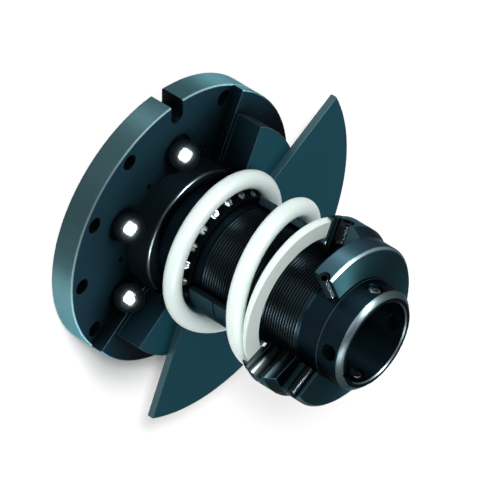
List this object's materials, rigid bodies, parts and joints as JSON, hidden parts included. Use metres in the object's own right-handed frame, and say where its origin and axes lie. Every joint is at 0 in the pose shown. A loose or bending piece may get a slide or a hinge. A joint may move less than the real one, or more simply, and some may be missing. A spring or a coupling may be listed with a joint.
{
  "type": "torque limiter",
  "caption": "Ball-detent overload clutch on a bored hub, cut open to show balls, half trip disc, coil spring, roller guide and threaded adjusting nut.",
  "frame": {"origin": "on the shaft axis at the flat back of the drive flange, which is also the hub's back face", "axes": "+Z along the shaft bore, from the drive flange towards the adjusting nut; -Y faces the cut-open side"},
  "size_m": [0.1406, 0.1377, 0.1165],
  "materials": {
    "black_steel": "oil-blackened, semi-gloss",
    "blued_steel": "blackened with a teal cast, satin",
    "disc_steel": "teal-grey, satin",
    "bright_steel": "turned, bright",
    "ground_steel": "ground",
    "polished_ball": "polished",
    "cage_black": "matt",
    "white_paint": "white enamel, semi-gloss"
  },
  "bodies": {
    "hub": {"hub": "black_steel", "hub_set_screws": "bright_steel", "slide_key": "bright_steel", "lock_ring": "disc_steel", "lock_screws": "bright_steel"},
    "drive_flange": {"drive_flange": "blued_steel", "ball_cage_plate": "blued_steel", "detent_ball_1": "polished_ball", "detent_ball_2": "polished_ball", "detent_ball_3": "polished_ball", "detent_ball_4": "polished_ball", "detent_ball_5": "polished_ball", "detent_ball_6": "polished_ball"},
    "slide_plate": {"detent_ring": "ground_steel", "pressure_drum": "blued_steel", "trip_disc": "disc_steel", "guide_rollers": "polished_ball", "guide_cage": "cage_black", "cage_retainer": "ground_steel", "guide_sleeve": "blued_steel", "coil_spring": "white_paint"},
    "spring_seat": {"spring_seat": "blued_steel"},
    "adjusting_nut": {"adjusting_nut": "blued_steel", "nut_set_screws": "bright_steel"}
  },
  "joints": [
    {"name": "flange_turn", "type": "hinge", "parent": "hub", "child": "drive_flange", "pos_m": [0, 0, 0], "axis": [0, 0, 1], "range_deg": [0, 3.45], "stiffness_Nm_per_rad": 40, "springref_deg": -1.15},
    {"name": "plate_lift", "type": "slide", "parent": "hub", "child": "slide_plate", "axis": [0, 0, 1], "range_m": [0, 0.0022], "deforming": ["coil_spring"]},
    {"name": "nut_turn", "type": "hinge", "parent": "spring_seat", "child": "adjusting_nut", "pos_m": [0, 0, 0], "axis": [0, 0, -1], "range_deg": [0, 1080]},
    {"name": "seat_advance", "type": "slide", "parent": "hub", "child": "spring_seat", "axis": [0, 0, -1], "range_m": [0, 0.00375], "deforming": ["coil_spring"]}
  ],
  "couplings": [
    {"joint": "plate_lift", "follows": "flange_turn", "m_per_rad": 0.0363},
    {"joint": "seat_advance", "follows": "nut_turn", "m_per_rad": 0.00019894}
  ]
}
